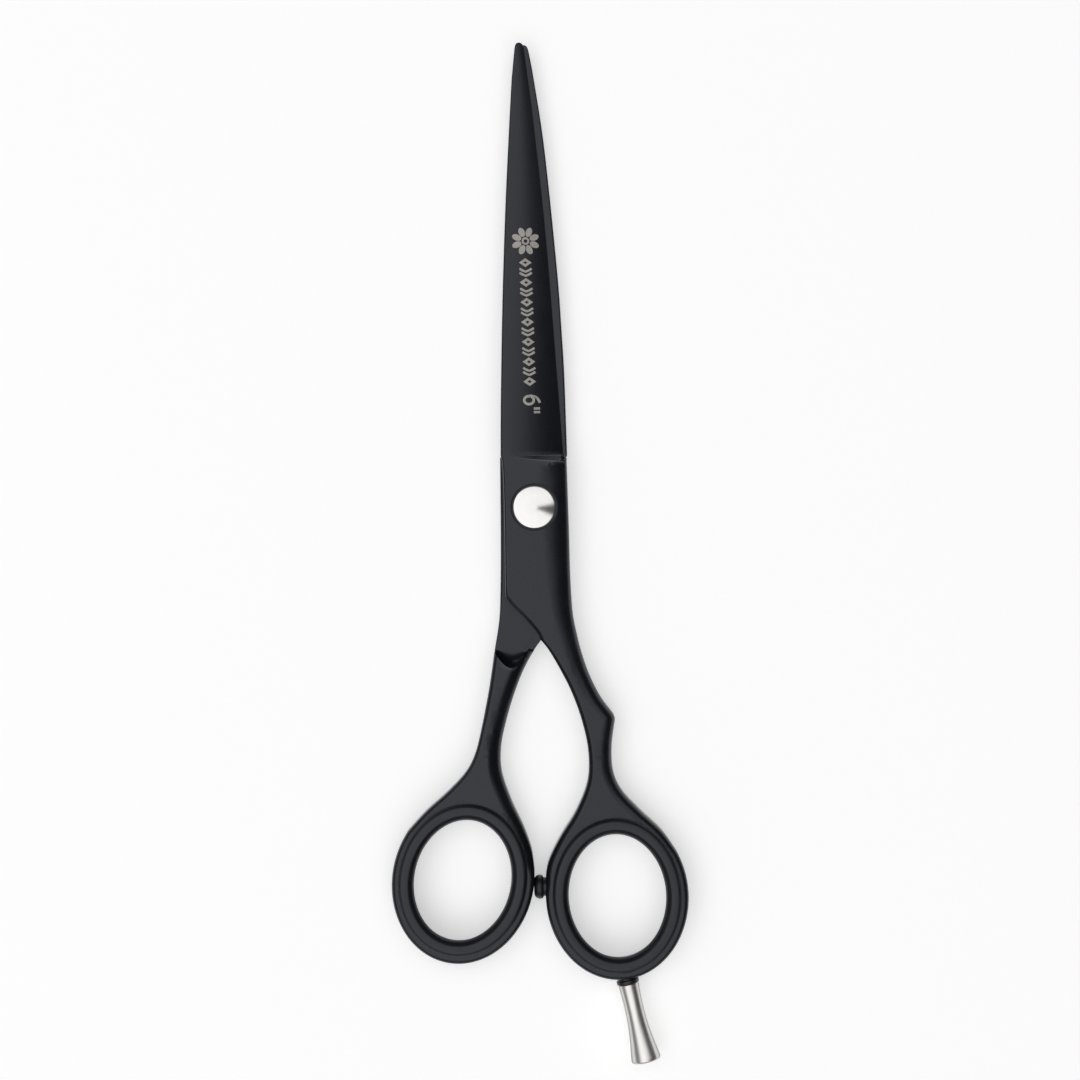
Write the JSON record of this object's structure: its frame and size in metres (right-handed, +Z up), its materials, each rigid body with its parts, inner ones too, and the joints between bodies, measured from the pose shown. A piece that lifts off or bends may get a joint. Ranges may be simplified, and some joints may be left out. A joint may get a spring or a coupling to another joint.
{
  "type": "hair cutting shears",
  "caption": "Slim black hair cutting shears with convex blades, screwed pivot, lined finger rings, bumper and a flared finger rest.",
  "frame": {"origin": "on the pivot axis, at the outer face of the tension nut, which is the surface that the closed shears lie on", "axes": "+Z up along the pivot axis, out of the domed bolt head; +Y from the pivot towards the blade tips; +X to the right, towards the finger ring"},
  "size_m": [0.048, 0.1661, 0.0071],
  "materials": {
    "black_coating": "matte black coating on steel, fine grain, low gloss",
    "polished_steel": "bright polished steel with fine turning marks",
    "brushed_steel": "satin steel, turned, fine circular grain",
    "spring_steel": "plain bright steel",
    "black_rubber": "soft matte black rubber",
    "white_nylon": "natural nylon, matte",
    "black_metal": "satin black washer"
  },
  "bodies": {
    "finger_side": {"finger_half": "black_coating", "pivot_bolt": "polished_steel", "click_spring": "spring_steel", "finger_ring_insert": "black_rubber", "bumper_cap": "black_rubber", "bumper_stud": "spring_steel"},
    "thumb_side": {"thumb_half": "black_coating", "pivot_bush": "white_nylon", "glide_washer": "white_nylon", "seat_washer": "spring_steel", "thumb_ring_insert": "black_rubber"},
    "nut": {"tension_nut": "polished_steel"},
    "rest_washer": {"finger_rest_washer": "black_metal"},
    "rest": {"finger_rest": "brushed_steel", "finger_rest_stud": "spring_steel"}
  },
  "joints": [
    {"name": "blade_pivot", "type": "hinge", "parent": "finger_side", "child": "thumb_side", "pos_m": [0, 0, 0.0035], "axis": [0, 0, -1], "range_deg": [0, 100]},
    {"name": "tension_turn", "type": "hinge", "parent": "finger_side", "child": "nut", "pos_m": [0, 0, 0], "axis": [0, 0, 1], "range_deg": [-90, 90]},
    {"name": "rest_lift", "type": "slide", "parent": "finger_side", "child": "rest_washer", "axis": [0.2028, -0.9792, 0], "range_m": [0, 0.002]},
    {"name": "rest_turn", "type": "hinge", "parent": "rest_washer", "child": "rest", "pos_m": [0.01325, -0.0778, 0.0035], "axis": [0.2028, -0.9792, 0], "range_deg": [0, 1440]}
  ],
  "couplings": [
    {"joint": "rest_turn", "follows": "rest_lift", "rad_per_m": 12566}
  ]
}
